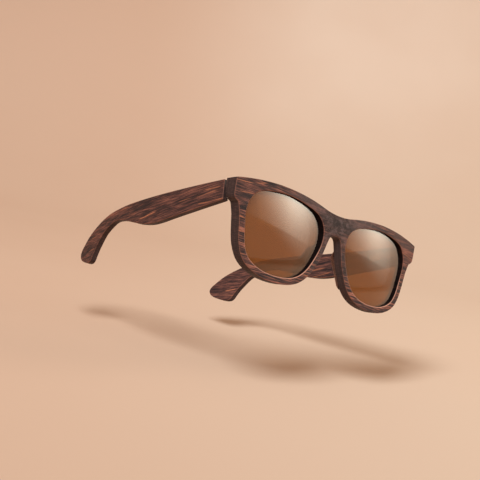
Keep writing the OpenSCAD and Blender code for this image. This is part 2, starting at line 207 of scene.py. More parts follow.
# Tones from dark to light: broad faces, cut edges (their own plainer colour, darkened further as
# painted shade), the dull brow and the mottled bridge
FACE_TONES = ((0.30, (0.023, 0.0174, 0.0190)), (0.42, (0.046, 0.0288, 0.0290)),
    (0.51, (0.098, 0.0462, 0.0400)), (0.60, (0.190, 0.080, 0.062)), (0.76, (0.40, 0.160, 0.108)))
CUT_AND_SHADE_TONES = ((0.36, (0.036, 0.0245, 0.0240)), (0.52, (0.060, 0.0385, 0.0360)),
    (0.70, (0.092, 0.0555, 0.0500)))
BROW_TONES = ((0.39, (0.042, 0.0320, 0.0335)), (0.50, (0.086, 0.0600, 0.0580)),
    (0.61, (0.170, 0.0980, 0.0920)))
BRIDGE_TONES = ((0.38, (0.0195, 0.0138, 0.0150)), (0.50, (0.050, 0.0330, 0.0335)),
    (0.62, (0.110, 0.0740, 0.0740)))
SAPWOOD, PALE_STREAK = (0.50, 0.185, 0.095), (0.60, 0.225, 0.115)
# The third colour, near black, is painted shade for the walls inside the lens openings
PORE, SPECK, OPENING_PAINTED_SHADE = (0.014, 0.0095, 0.0085), (0.240, 0.1250, 0.1000), (0.0025, 0.0018, 0.0016)
# Lighter edge colours: the first is edge wear with a painted highlight, the second a painted
# highlight on the lower edges of the openings
EDGE_WEAR_AND_HIGHLIGHT, OPENING_LOW_EDGE_HIGHLIGHT = (0.36, 0.150, 0.098), (0.66, 0.34, 0.24)
# The second gloss is lower, for the painted-shade walls of the openings
GLOSS, OPENING_SHADE_GLOSS = 0.12, 0.01
RELIEF = 0.00006
# Pale streaks of the temples: middle and one end, as Y and Z in millimetres, and strength.
# One at the notch, one in the ear end and three near the hinge
PALE_LINES = (((-1.4, 25.8), (-10.0, 28.0), 1.0), ((58.0, 7.4), (53.5, 8.6), 0.9),
    ((-49.0, 36.2), (-57.5, 38.0), 0.55), ((-53.5, 39.0), (-59.5, 40.2), 0.5),
    ((-33.0, 33.4), (-39.0, 34.6), 0.55))


class Wood(Nodes):
    """Dark streaked hardwood. turn brings the grain to the first axis and the board's depth to the
    second; face_axis is the axis that its broad faces look along, so its edges show the cut."""

    def __init__(self, name, turn, face_axis, seed):
        super().__init__(bpy.data.materials.new(name))
        place = self.add("TexCoord").outputs
        self.point, self.normal = place["Object"], place["Normal"]
        axis = "XYZ".index(face_axis)
        xyz = self.parts(self.point)
        self.x, self.z, self.depth = xyz[0], xyz[2], xyz[axis]
        self.facing = self.size(self.parts(self.normal)[axis])
        self.at = self.add("Mapping", {"Vector": self.point, "Location": seed, "Rotation": turn,
            "Scale": TO_MM}).outputs[0]
        sway = self.add("TexNoise", {"Vector": self.vec("MULTIPLY", self.at, (0.03, 0.03, 0.06)),
            "Scale": 1.0, "Detail": 1.0}).outputs["Color"]
        sway = self.vec("MULTIPLY", self.vec("SUBTRACT", sway, (0.5, 0.5, 0.5)), (0.0, 0.0, 1.8))
        self.grain = self.vec("ADD", self.at, sway)
        self.bands = self.noise(self.grain, (0.016, 0.05, 0.24), 1.0)
        self.streak = self.noise(self.grain, (0.030, 0.12, 1.05), 2.0, 0.6)
        self.dash = self.noise(self.grain, (0.11, 0.5, 2.0), 1.0)
        self.fine = self.noise(self.grain, (0.10, 0.4, 3.4), 1.0, 0.6)
        self.fleck = self.noise(self.at, (1.2, 1.4, 2.6), 2.0, 0.6)
        self.pores = self.noise(self.grain, (0.7, 3.0, 8.0), 1.0)

    def tone(self, streaks, vivid):
        """How light the grain is, about 0.5."""
        tone = self.plus(self.times(self.bands, 0.50), self.times(self.streak, streaks))
        for noise, share in ((self.fine, 0.45), (self.fleck, 0.22), (self.dash, 0.90)):
            tone = self.plus(tone, self.times(noise, share))
        tone = self.minus(tone, 1.035 + streaks / 2)
        return self.plus(self.times(tone, vivid), 0.5)

    def end_pieces(self, tone):
        """The end pieces show lighter and calmer streaks than the sides of the rims."""
        outer = self.span(self.size(self.x), 0.050, 0.060)
        shift = self.span(self.z, 0.029, 0.035, -0.035, 0.020)
        tone = self.plus(tone, self.times(outer, shift))
        calm = self.times(outer, self.span(self.z, 0.032, 0.037, 0.0, 0.35))
        return self.plus(tone, self.times(calm, self.minus(0.53, tone)))

    def sapwood(self, col):
        """A few thin lines of sapwood colour, along the grain."""
        across = self.parts(self.grain)[2]
        drift = self.times(self.noise(self.at, (0.016, 0.03, 0.05), 1.0), 2.4)
        saw = self.math("FRACT", self.plus(self.times(across, 0.16), drift))
        line = self.span(self.size(self.minus(saw, 0.5)), 0.015, 0.06, 1.0, 0.0)
        where = self.noise(self.at, (0.045, 0.05, 0.16), 1.0)
        line = self.times(line, self.span(where, 0.55, 0.63))
        return self.mix(self.times(line, 0.75), col, SAPWOOD)

    def pale_line(self, col, mid, end, strength):
        half = Vector((0, end[0] - mid[0], end[1] - mid[1]))
        ahead = half.normalized()
        off = self.vec("SUBTRACT", self.vec("MULTIPLY", self.point, TO_MM), (0, *mid))
        along = self.size(self.dot(off, ahead))
        ragged = self.minus(self.times(self.dash, 0.9), 0.45)
        over = self.size(self.plus(self.dot(off, (0, -ahead.z, ahead.y)), ragged))
        mark = self.times(self.span(over, 0.12, 0.42, 1.0, 0.0),
            self.span(along, half.length * 0.55, half.length, 1.0, 0.0))
        share = self.span(self.streak, 0.36, 0.52, 0.45 * strength, 0.95 * strength)
        return self.mix(self.times(mark, share), col, PALE_STREAK)

    def brow_and_bridge(self, col):
        """The brow is duller from the bridge outward, and the bridge itself mottled."""
        mottle = self.noise(self.at, (0.28, 0.4, 0.42), 4.0, 0.68)
        drab = self.plus(self.times(self.streak, 0.55), self.times(mottle, 0.45))
        share = self.times(self.span(self.x, -0.048, -0.024),
            self.span(self.z, 0.0385, 0.0425, 0.0, 0.9))
        share = self.times(share, self.span(self.x, 0.022, 0.046, 1.0, 0.35))
        col = self.mix(share, col, self.ramp(drab, *BROW_TONES))
        plain = self.ramp(mottle, *BRIDGE_TONES)
        plain = self.mix(self.span(self.fleck, 0.58, 0.70, 0.0, 0.6), plain, SPECK)
        near = self.span(self.size(self.x), 0.004, 0.020, 1.0, 0.0)
        return self.mix(self.times(near, 0.85), col, plain)

    def into_opening(self):
        """How far a face of the front looks towards the middle of its lens opening."""
        side = self.math("SIGN", self.x)
        aim = self.add("CombineXYZ", {0: self.minus(self.times(side, LENS_CX * MM), self.x),
            2: self.minus(LENS_CZ * MM, self.z)}).outputs[0]
        return self.dot(self.vec("NORMALIZE", aim), self.normal)


def wood(name, turn, face_axis, seed, streaks=0.5, vivid=1.0, lift=1.0, bridge=False, lines=()):
    """A wood material. bridge adds what only the front board shows, and lines the pale streaks."""
    n = Wood(name, turn, face_axis, seed)
    tone = n.tone(streaks, vivid)
    if bridge:
        tone = n.end_pieces(tone)
    col = n.sapwood(n.ramp(tone, *FACE_TONES))
    for mid, end, strength in lines:
        col = n.pale_line(col, mid, end, strength)
    if bridge:
        col = n.brow_and_bridge(col)
    col = n.mix(n.span(n.pores, 0.60, 0.74, 0.0, 0.6), col, PORE)
    # Cut edges of the board: plainer, with faint lines along them, and darker, partly their own
    # colour and partly painted shade
    ply = n.add("TexNoise", {"W": n.times(n.depth, 900.0), "Scale": 1.0, "Detail": 1.0},
        noise_dimensions="1D").outputs["Fac"]
    cut = n.ramp(n.plus(n.times(ply, 0.4), n.times(n.fine, 0.6)), *CUT_AND_SHADE_TONES)
    gloss = GLOSS
    if bridge:
        # The walls inside the lens openings are painted near black as shade, with less gloss so
        # that they stay dark
        turned = n.into_opening()
        opening_shade = n.span(turned, 0.2, 0.6)
        cut = n.mix(n.times(opening_shade, 0.94), cut, OPENING_PAINTED_SHADE)
        shaded_wall = n.times(opening_shade, n.span(n.facing, 0.25, 0.6, 1.0, 0.0))
        gloss = n.span(shaded_wall, 0.0, 1.0, GLOSS, OPENING_SHADE_GLOSS)
    col = n.mix(n.span(n.facing, 0.25, 0.6, 0.95, 0.0), col, cut)
    # Rounded edges are lighter: edge wear, and a painted highlight along them
    wear_and_highlight = n.times(n.span(n.facing, 0.35, 0.60), n.span(n.facing, 0.97, 0.88))
    wear_and_highlight = n.times(wear_and_highlight, n.span(n.fine, 0.36, 0.56, 0.25, 0.75))
    col = n.mix(wear_and_highlight, col, EDGE_WEAR_AND_HIGHLIGHT)
    if bridge:
        # The lower edges of the openings get a painted highlight
        low = n.times(n.span(n.z, 0.030, 0.016), n.span(turned, 0.15, 0.40))
        edge = n.times(n.span(n.facing, 0.30, 0.55), n.span(n.facing, 0.985, 0.93))
        col = n.mix(n.times(n.times(low, edge), 0.8), col, OPENING_LOW_EDGE_HIGHLIGHT)
    if lift != 1.0:
        col = n.mix(1.0, col, (lift, lift, lift), "MULTIPLY")
    rough = n.span(n.plus(n.streak, n.times(n.pores, 0.5)), 0.5, 1.1, 0.42, 0.66)
    relief = n.minus(n.times(n.fine, 0.5), n.span(n.pores, 0.56, 0.72))
    return n.surface(Base_Color=col, Roughness=rough, Normal=n.bump(relief, RELIEF, 0.8),
        Specular_IOR_Level=gloss)


# Grain along X on the front, and along the sloping temples
TEMPLE_GRAIN = (SLOPE + 0.055, 0, -math.pi / 2)
front_wood = wood("front_wood", (0, 0, 0), "Y", (13, 4, 7), streaks=0.85, bridge=True)
pad_wood = wood("pad_wood", (0, 0, 0), "Y", (41, 9, 2), lift=0.8)
temple_woods = {
    side: wood("temple_wood_" + side, TEMPLE_GRAIN, "X", seed, vivid=0.63, lines=PALE_LINES)
    for side, seed in (("left", (3, 21, 5)), ("right", (57, 2, 16)))
}

# ---- Glass and metal ---------------------------------------------------------------------------
# The photo's lenses mirror the room as if they faced a little more towards the nose, in radians
LENS_SHEEN_TURN = 0.052
TINT_LOW, TINT_HIGH = (0.285, 0.101, 0.018), (0.275, 0.098, 0.018)
LENS_WAVE, BRUSH_DEPTH = 0.00002, 0.00001


def lens_glass():
    """Brown tint with a slight haze, under a coat that mirrors the room."""
    n = Nodes(bpy.data.materials.new("lens_tint"))
    point = n.add("TexCoord").outputs["Object"]
    xyz = n.parts(point)
    inward = n.times(n.math("SIGN", xyz[0]), -LENS_SHEEN_TURN)
    inward = n.add("CombineXYZ", {0: inward}).outputs[0]
    sheen = n.vec("NORMALIZE", n.vec("ADD", n.add("NewGeometry").outputs["Normal"], inward))
    col = n.ramp(n.span(xyz[2], 0.003, 0.045), (0.0, TINT_LOW), (1.0, TINT_HIGH))
    wave = n.noise(point, (60, 60, 60), 1.0)
    return n.surface(Base_Color=col, Roughness=0.015, IOR=1.2, Transmission_Weight=0.72,
        Coat_Weight=1.0, Coat_Roughness=0.04, Coat_IOR=1.62, Coat_Normal=sheen,
        Normal=n.bump(wave, LENS_WAVE, 0.15))


def metal(name, dark, light, along):
    """Brushed metal. along is how fine the brush lines are on each axis."""
    n = Nodes(bpy.data.materials.new(name))
    at = n.add("TexCoord").outputs["Object"]
    lines = n.noise(at, along, 3.0, 0.6)
    stain = n.noise(at, (400, 400, 400), 2.0)
    col = n.ramp(n.plus(n.times(lines, 0.6), n.times(stain, 0.4)), (0.3, dark), (0.7, light))
    return n.surface(Base_Color=col, Metallic=1.0, Roughness=n.span(lines, 0.3, 0.7, 0.26, 0.44),
        Normal=n.bump(lines, BRUSH_DEPTH, 0.5))


steel = metal("hinge_steel", (0.34, 0.34, 0.355), (0.60, 0.60, 0.61), (9000, 500, 9000))
wire = metal("spring_steel", (0.44, 0.44, 0.46), (0.68, 0.68, 0.69), (6000, 6000, 6000))
brass = metal("collar_brass", (0.48, 0.33, 0.14), (0.70, 0.52, 0.26), (7000, 7000, 7000))
tint = lens_glass()


# ---- Shapes of the wooden boards, in millimetres -----------------------------------------------
def curve(a, b, c, d, t):
    """A smooth curve from b to c that also heeds their neighbours a and d."""
    return 0.5 * (2 * b + (c - a) * t + (2 * a - 5 * b + 4 * c - d) * t * t
        + (3 * b - a - 3 * c + d) * t ** 3)


def closed_curve(p, n):
    """A closed curve through points, with n steps between each two."""
    p = [np.array(q, float) for q in p]
    k = len(p)
    return [curve(p[i - 1], p[i], p[(i + 1) % k], p[(i + 2) % k], j / n)
        for i in range(k) for j in range(n)]


def open_curve(p, n):
    """The same between the first point and the last."""
    p = [np.array(q, float) for q in p]
    k = len(p)
    return [curve(p[max(i - 1, 0)], p[i], p[i + 1], p[min(i + 2, k - 1)], j / n)
        for i in range(k - 1) for j in range(n)]


def outward(path):
    """Unit normals out of an anticlockwise outline."""
    p = np.array(path)
    d = np.roll(p, -1, 0) - np.roll(p, 1, 0)
    return np.stack([d[:, 1], -d[:, 0]], 1) / np.linalg.norm(d, axis=1)[:, None]


def room(path, n):
    """How far each point of an outline can move inward before it meets its neighbours."""
    step = np.linalg.norm(np.roll(path, -1, 0) - np.roll(path, 1, 0), axis=1)
    a, b = np.roll(n, 1, 0), np.roll(n, -1, 0)
    turn = np.arcsin(np.clip(a[:, 0] * b[:, 1] - a[:, 1] * b[:, 0], -1, 1))
    free = 0.55 * step / np.maximum(turn, 1e-3)
    free = np.min([np.roll(free, k) for k in range(-3, 4)], 0)
    return np.mean([np.roll(np.minimum(free, 3), k) for k in range(-2, 3)], 0)


def tidy(path, least=0.05):
    """An anticlockwise outline with no two points on one spot."""
    out = []
    for p in path:
        if not out or np.linalg.norm(p - out[-1]) > least:
            out.append(np.array(p, float))
    if np.linalg.norm(out[0] - out[-1]) < least:
        out.pop()
    p = np.array(out)
    q = np.roll(p, -1, 0)
    return p if (p[:, 0] * q[:, 1] - q[:, 0] * p[:, 1]).sum() > 0 else p[::-1].copy()


def brow(x):
    """Height of the brow's upper edge."""
    if x < BLEND_X:
        return CROWN_Z - SADDLE_D + x * x / (2 * SADDLE_R)
    return CROWN_Z - (x - CROWN_X) ** 2 / (2 * BROW_R)


END_TOP = brow(HALF_W)
END_LOW = END_TOP - END_H
ARCH_Z = CROWN_Z - SADDLE_D - BRIDGE_H
lens_edge = np.array(closed_curve([(LENS_CX + u * LENS_W / 2, LENS_CZ + v * LENS_H / 2)
    for u, v in LENS_SHAPE], STEPS))


def front_outline():
    """Outline of the front: brow, end pieces, rims and the arch over the nose."""
    n = outward(lens_edge)
    share = np.clip(((lens_edge[:, 0] - LENS_CX) / (LENS_W / 2) - 0.6) / 0.35, 0, 1)
    rim = lens_edge + n * (RIM_W + (SIDE_W - RIM_W) * share)[:, None]
    first, last = 3 * STEPS // 5, 9 * STEPS + 2 * STEPS // 5
    around = [*range(first, -1, -1), *range(len(rim) - 1, last - 1, -1)]
    rim = [rim[i] for i in around]
    top = [np.array((x, brow(x))) for x in np.linspace(0, HALF_W - 0.8, 73)]
    end = open_curve([(HALF_W - 0.25, END_TOP - 0.2), (HALF_W, END_TOP - 0.9),
        (HALF_W - 0.15, END_LOW + 2.6), (HALF_W - 0.75, END_LOW + 0.3),
        (HALF_W - 2.2, END_LOW - 0.9), (HALF_W - 3.6, END_LOW - 1.9), rim[0]], 9)
    arch = open_curve([rim[-1], (ARCH_W * 0.48, ARCH_Z - 3.4), (ARCH_W * 0.37, ARCH_Z - 1.2),
        (ARCH_W * 0.21, ARCH_Z - 0.25), (0, ARCH_Z)], 9) + [np.array((0.0, ARCH_Z))]
    half = top + end + rim + arch[1:]
    return tidy(half + [p * (-1, 1) for p in half[-2:0:-1]], 0.08)


def temple_outline():
    """Outline of a temple, flat: Y along it from the pin, Z up."""
    low, high, butt = -TEMPLE_DOWN, TEMPLE_UP, -0.5
    pts = [(0, high)] + [(a * TEMPLE_L, high + b) for a, b in TEMPLE_TOP]
    pts += [(a * TEMPLE_L, high - b * EAR_DROP) for a, b in EAR_END]
    pts += [(a * TEMPLE_L, -NECK_D - b * (BELLY_D - NECK_D)) for a, b in TEMPLE_UNDER]
    pts += [(0.26 * TEMPLE_L, -BELLY_D + 0.95), (0.145 * TEMPLE_L, low - 1.85), (0, low - 0.08)]
    corner = 0.35
    inner = corner * 0.3
    butt_end = [(butt + corner, low), (butt + inner, low + inner), (butt, low + corner)]
    butt_end += [(butt, z) for z in np.linspace(low + 1, high - 1, 12)]
    butt_end += [(butt, high - corner), (butt + inner, high - inner), (butt + corner, high)]
    return tidy([np.array(p, float) for p in butt_end] + open_curve(pts, 10), 0.08)


def face_y(x):
    """Where the bowed front face stands."""
    return FRONT_Y + WRAP_R - np.sqrt(WRAP_R ** 2 - x * x)


def inside(points, loop):
    """Which points lie in a closed outline."""
    x, y = points[:, 0][:, None], points[:, 1][:, None]
    a, b = loop, np.roll(loop, -1, 0)
    over = (a[:, 1] > y) != (b[:, 1] > y)
    with np.errstate(divide="ignore", invalid="ignore"):
        cross = a[:, 0] + (y - a[:, 1]) * (b[:, 0] - a[:, 0]) / (b[:, 1] - a[:, 1])
    return ((over & (x < cross)).sum(1) % 2).astype(bool)


def fill(bm, rings, place, spacing=3.0):
    """Closes a board's face between its outer ring and the rings round its openings.
    Each ring is a pair: its flat outline and its mesh points."""
    flat = [p for loop, _ in rings for p in loop]
    verts = [v for _, vs in rings for v in vs]
    edges, start = [], 0
    for loop, _ in rings:
        k = len(loop)
        edges += [(start + i, start + (i + 1) % k) for i in range(k)]
        start += k
    outer = rings[0][0]
    lo, hi = outer.min(0), outer.max(0)
    grid = np.array([(x, y) for x in np.arange(lo[0], hi[0], spacing)
        for y in np.arange(lo[1], hi[1], spacing)])
    keep = inside(grid, outer)
    for loop, _ in rings[1:]:
        keep &= ~inside(grid, loop)
    grid = grid[keep]
    rim = np.array(flat)
    near = np.array([np.min(((rim - g) ** 2).sum(1)) for g in grid])
    grid = grid[near > (0.45 * spacing) ** 2]
    for g in grid:
        flat.append(g)
        verts.append(bm.verts.new(place(*g)))
    out, _, faces, source, _, _ = delaunay_2d_cdt([Vector(p) for p in flat], edges, [], 0, 1e-6)
    mid = np.array([np.mean([out[i] for i in f], 0) for f in faces])
    keep = inside(mid, outer)
    for loop, _ in rings[1:]:
        keep &= ~inside(mid, loop)
    for f, k in zip(faces, keep):
        if k:
            bm.faces.new([verts[source[i][0]] for i in f])


def strips(bm, rings):
    """Joins rings of points of one length, one to the next."""
    for a, b in zip(rings, rings[1:]):
        k = len(a)
        for i in range(k):
            bm.faces.new((a[i], a[(i + 1) % k], b[(i + 1) % k], b[i]))


def rounded(r_near, r_far, thick, parts=4):
    """Inset and depth of the rings of a wall whose two edges are rounded."""
    quarter = [math.radians(90) * k / parts for k in range(parts + 1)]
    ring = [(r_near * (1 - math.sin(a)), r_near * (1 - math.cos(a))) for a in quarter]
    return ring + [(r_far * (1 - math.cos(a)), thick - r_far * (1 - math.sin(a))) for a in quarter]


def finish_mesh(bm, name):
    """An object from a mesh that was built in millimetres."""
    bmesh.ops.recalc_face_normals(bm, faces=bm.faces)
    bmesh.ops.scale(bm, vec=(MM, MM, MM), verts=bm.verts)
    mesh = bpy.data.meshes.new(name)
    bm.to_mesh(mesh)
    bm.free()
    o = bpy.data.objects.new(name, mesh)
    scene.collection.objects.link(o)
    return o


def box_piece(lo, hi, m):
    """A cutter: a box given by its corners in the frame m, in millimetres."""
    bm = bmesh.new()
    bmesh.ops.create_cube(bm, size=1)
    lo, hi = Vector(lo), Vector(hi)
    bmesh.ops.scale(bm, vec=hi - lo, verts=bm.verts)
    bmesh.ops.translate(bm, vec=(lo + hi) / 2, verts=bm.verts)
    bmesh.ops.transform(bm, matrix=m, verts=bm.verts)
    return finish_mesh(bm, "cutter")


def combine(o, other, how):
    """Joins or cuts a piece with another one, which is used up."""
    b = o.modifiers.new("combine", "BOOLEAN")
    b.object, b.operation, b.solver = other, how, "EXACT"
    bpy.context.view_layer.update()
    mesh = bpy.data.meshes.new_from_object(o.evaluated_get(bpy.context.evaluated_depsgraph_get()))
    o.modifiers.clear()
    old = o.data
    o.data = mesh
    mesh.name = o.name
    bpy.data.meshes.remove(old)
    bpy.data.objects.remove(other)


def smooth(o, angle=40):
    """Smooth shading, with edges over the angle kept sharp."""
    o.data.polygons.foreach_set("use_smooth", [True] * len(o.data.polygons))
    o.data.set_sharp_from_angle(angle=math.radians(angle))
    w = o.modifiers.new("normals", "WEIGHTED_NORMAL")
    w.keep_sharp, w.weight = True, 80


def hand(side):
    return "left" if side > 0 else "right"


def hinge_frame(side):
    """The hinge's own frame: X outward, Y along the temple, Z up the pin. Side 1 is the left."""
    flip = Matrix.Diagonal((side, 1, 1, 1))
    return flip @ Matrix.Translation(PIN) @ Matrix.Rotation(-SLOPE, 4, "X")


def front_board():
    """The front with its lens grooves, hinge pockets and sloping ends."""
    bm = bmesh.new()
    path = front_outline()
    thick = BOARD_T + SKIN

    def at(x, z, depth):
        return Vector((x, face_y(x) + depth * (1 + x * x / WRAP_R ** 2 / 2), z))

    normal = outward(path)
    free = room(path, normal)
    rings, loops = [], []
    # The back edge is rounder on the rims than at the end pieces, where the hinge stands
    soft = np.clip((RIMS_TO - np.abs(path[:, 0])) / RIMS_FADE, 0.04, 1)
    on_rims = rounded(FRONT_EDGE_R, BACK_EDGE_R, thick)
    on_ends = rounded(FRONT_EDGE_R, HINGE_EDGE_R, thick)
    for (inset, depth), (inset_b, depth_b) in zip(on_rims, on_ends):
        i = np.minimum(inset * soft + inset_b * (1 - soft), free)
        d = depth * soft + depth_b * (1 - soft)
        loop = path - normal * i[:, None]
        loops.append(loop)
        rings.append([bm.verts.new(at(p[0], p[1], e)) for p, e in zip(loop, d)])
    strips(bm, rings)
    near, far = [(loops[0], rings[0])], [(loops[-1], rings[-1])]
    for side in (1, -1):
        edge = lens_edge * (side, 1)
        n = outward(lens_edge) * (side, 1)
        ball = Vector((side * (LENS_CX - LENS_R * math.sin(LENS_TURN)),
            float(face_y(LENS_CX)) + LENS_SINK + LENS_R * math.cos(LENS_TURN), LENS_CZ))

        def shell(p, r):
            return ball.y - math.sqrt(r * r - (p[0] - ball.x) ** 2 - (p[1] - ball.z) ** 2)

        groove = LENS_BITE + LENS_CLEAR
        r_in, r_out = LENS_R + LENS_CLEAR, LENS_R - LENS_T - LENS_CLEAR
        wall = rounded(*OPENING_EDGE_R, thick, 3)
        hole, flats = [], []
        for inset, depth in wall[:4]:
            flats.append(edge + n * inset)
            hole.append([bm.verts.new(at(p[0], p[1], depth)) for p in flats[-1]])
        for out, r in ((0, r_in), (groove, r_in), (groove, r_out), (0, r_out)):
            flats.append(edge + n * out)
            hole.append([bm.verts.new((p[0], shell(p, r), p[1])) for p in flats[-1]])
        for inset, depth in wall[4:]:
            flats.append(edge + n * inset)
            hole.append([bm.verts.new(at(p[0], p[1], depth)) for p in flats[-1]])
        strips(bm, hole)
        near.append((flats[0], hole[0]))
        far.append((flats[-1], hole[-1]))
    fill(bm, near, lambda x, z: at(x, z, 0))
    fill(bm, far, lambda x, z: at(x, z, thick))
    o = finish_mesh(bm, "front_board")
    corner = Matrix.Translation((HALF_W, float(face_y(HALF_W)), END_TOP))
    for side in (1, -1):
        combine(o, end_lug(path, side), "UNION")
        combine(o, box_piece(*LEAF_POCKET, hinge_frame(side)), "DIFFERENCE")
        top = Matrix.Diagonal((side, 1, 1, 1)) @ corner
        top = top @ Matrix.Rotation(END_TILT, 4, "Y") @ Matrix.Rotation(-END_FALL, 4, "X")
        combine(o, box_piece(*END_CUT, top), "DIFFERENCE")
    smooth(o)
    return o


def end_lug(path, side):
    """The thick back of an end piece, cut square to the temple."""
    inner, low = LUG_IN, LUG_LOW
    keep = path[(path[:, 0] > inner + 0.1) & (path[:, 1] > low + 0.1)]
    keep = keep[np.argsort(np.arctan2(keep[:, 1] - LUG_MID[1], keep[:, 0] - LUG_MID[0]))]
    inset = keep - outward(keep) * LUG_INSET
    inset = inset[(inset[:, 0] > inner + 0.3) & (inset[:, 1] > low + 0.3)]
    # The outline begins at the lowest point of its outer side
    start = int(np.argmin(np.where(inset[:, 0] > 66, inset[:, 1], np.inf)))
    inset = np.roll(inset, -start, 0)
    left = [np.array((inner, z)) for z in np.linspace(brow(inner) - LUG_INSET, low, 8)]
    base = [np.array((x, low)) for x in np.linspace(inner, inset[0][0] - 0.3, 6)[1:]]
    loop = tidy(list(inset) + left + base, 0.03)

    def rear(z):
        return PIN.y + (-LUG_GAP + (z - PIN.z) * math.sin(SLOPE)) / math.cos(SLOPE)

    bm = bmesh.new()
    n = outward(loop)
    free = room(loop, n)
    sunk, wall = 2.5, 4
    rings = [[bm.verts.new((side * p[0], face_y(p[0]) + sunk, p[1])) for p in loop]]
    for step_in, depth in rounded(LUG_EDGE_R, LUG_EDGE_R, wall)[5:]:
        flat = loop - n * np.minimum(step_in, free)[:, None]
        rings.append([bm.verts.new((side * p[0], rear(p[1]) - wall + depth, p[1]))
            for p in flat])
    strips(bm, rings)
    bm.faces.new(rings[0])
    bm.faces.new(rings[-1])
    return finish_mesh(bm, "lug")


def temple_board(side):
    """A bowed temple with the pocket for its spring case."""
    bm = bmesh.new()
    path = temple_outline()
    m = hinge_frame(side)

    def at(y, z, depth):
        return m @ Vector((PIN_IN - BOW_R + math.sqrt((BOW_R - depth) ** 2 - y * y), y, z))

    n = outward(path)
    free = room(path, n)
    rings, loops = [], []
    for inset, depth in rounded(*TEMPLE_EDGE_R, TEMPLE_T):
        loops.append(path - n * np.minimum(inset, free)[:, None])
        rings.append([bm.verts.new(at(p[0], p[1], depth)) for p in loops[-1]])
    strips(bm, rings)
    fill(bm, [(loops[0], rings[0])], lambda y, z: at(y, z, 0))
    fill(bm, [(loops[-1], rings[-1])], lambda y, z: at(y, z, TEMPLE_T))
    o = finish_mesh(bm, "temple_board_" + hand(side))
    combine(o, box_piece(*CASE_POCKET, m), "DIFFERENCE")
    smooth(o)
    return o


def nose_pad(side):
    """A wedge with rounded ridges, flat where it is glued to the rim."""
    n = outward(lens_edge)
    top, low = (lens_edge[i] + 0.5 * RIM_W * n[i] for i in PAD_ENDS)

    def back_y(x):
        return FRONT_Y + WRAP_R - math.sqrt((WRAP_R - BOARD_T) ** 2 - x * x)

    balls = [(p, back_y(p[0]) - PAD_SUNK, PAD_R) for p in (top, low)]
    balls += [(p, back_y(p[0]) + PAD_D - RIDGE_R, RIDGE_R)
        for p in (top + (PAD_LEAN, -1.5), low + (PAD_LEAN, 1))]
    bm = bmesh.new()
    for p, y, r in balls:
        bmesh.ops.create_icosphere(bm, subdivisions=4, radius=r,
            matrix=Matrix.Translation((side * p[0], y, p[1])))
    hull = bmesh.ops.convex_hull(bm, input=bm.verts)
    spare = {g for g in hull["geom_interior"] + hull["geom_unused"]
        if isinstance(g, bmesh.types.BMVert)}
    bmesh.ops.delete(bm, geom=list(spare), context="VERTS")
    mid = (top[0] + low[0]) / 2
    lean = math.asin(mid / (WRAP_R - BOARD_T))
    cut = bmesh.ops.bisect_plane(bm, geom=bm.verts[:] + bm.edges[:] + bm.faces[:], dist=1e-5,
        plane_co=(side * mid, back_y(mid) + SKIN, 0),
        plane_no=(-side * math.sin(lean), math.cos(lean), 0), clear_inner=True)
    rim = [e for e in cut["geom_cut"] if isinstance(e, bmesh.types.BMEdge)]
    bmesh.ops.contextual_create(bm, geom=rim)
    o = finish_mesh(bm, "pad_" + hand(side))
    smooth(o, 50)
    return o


def coil_spring(side):
    """One unbroken coil of wire round the slider's rod."""
    m = Matrix.Translation((side * PIN.x, PIN.y, PIN.z)) @ Matrix.Rotation(-SLOPE, 4, "X")
    turns, sides = 40 * COILS, 12
    length = SPRING_TO - SPRING_FROM - 2 * WIRE_R
    bm = bmesh.new()
    rings = []
    for i in range(turns + 1):
        a = 2 * math.pi * COILS * i / turns
        y = SPRING_FROM + WIRE_R + length * i / turns
        ring = []
        for j in range(sides):
            b = 2 * math.pi * j / sides
            r = COIL_R + WIRE_R * math.cos(b)
            p = Vector((r * math.cos(a), y + WIRE_R * math.sin(b), r * math.sin(a)))
            ring.append(bm.verts.new(m @ p))
        rings.append(ring)
    strips(bm, rings)
    bm.faces.new(rings[0])
    bm.faces.new(rings[-1])
    o = finish_mesh(bm, "coil_" + hand(side))
    smooth(o)
    return o


# ---- Pieces ------------------------------------------------------------------------------------
CASTING_EDGE, SCREW_EDGE = 0.1 * MM, 0.04 * MM


def clothe(o, material):
    o.data.materials.clear()
    o.data.materials.append(material)


def dress(node, material, edge=0.0):
    """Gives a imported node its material, and rounds its sharp edges."""
    o = nodes[node]
    clothe(o, material)
    if edge:
        o.modifiers.new("weld", "WELD").merge_threshold = 2e-6
        d = o.modifiers.new("flat", "DECIMATE")
        d.decimate_type, d.angle_limit = "DISSOLVE", math.radians(0.5)
        b = o.modifiers.new("edge", "BEVEL")
        b.width, b.segments = edge, 2
        b.limit_method, b.angle_limit = "ANGLE", math.radians(30)
        b.use_clamp_overlap = True


def stand_in(o, node, body, material):
    """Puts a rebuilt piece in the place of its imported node."""
    clothe(o, material)
    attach(o, body)
    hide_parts(node)


front = front_board()
front.visible_glossy = False  # the rims would darken a wide band of each lens
stand_in(front, "front_frame", "front", front_wood)
for side, sign in (("left", 1), ("right", -1)):
    temple_body = "temple_body_" + side
    stand_in(temple_board(sign), "temple_" + side, temple_body, temple_woods[side])
    dress("lens_" + side, tint)
    stand_in(nose_pad(sign), "nose_pad_" + side, "front", pad_wood)
    for part in ("front_leaf", "slider", "spring_case"):
        dress(f"{part}_{side}", steel, CASTING_EDGE)
    for part in ("leaf_screws", "case_screws", "pivot_screw"):
        dress(f"{part}_{side}", steel, SCREW_EDGE)
    dress("stop_collar_" + side, brass)
    coil = coil_spring(sign)
    stand_in(coil, "spring_" + side, temple_body, wire)
    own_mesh(coil)

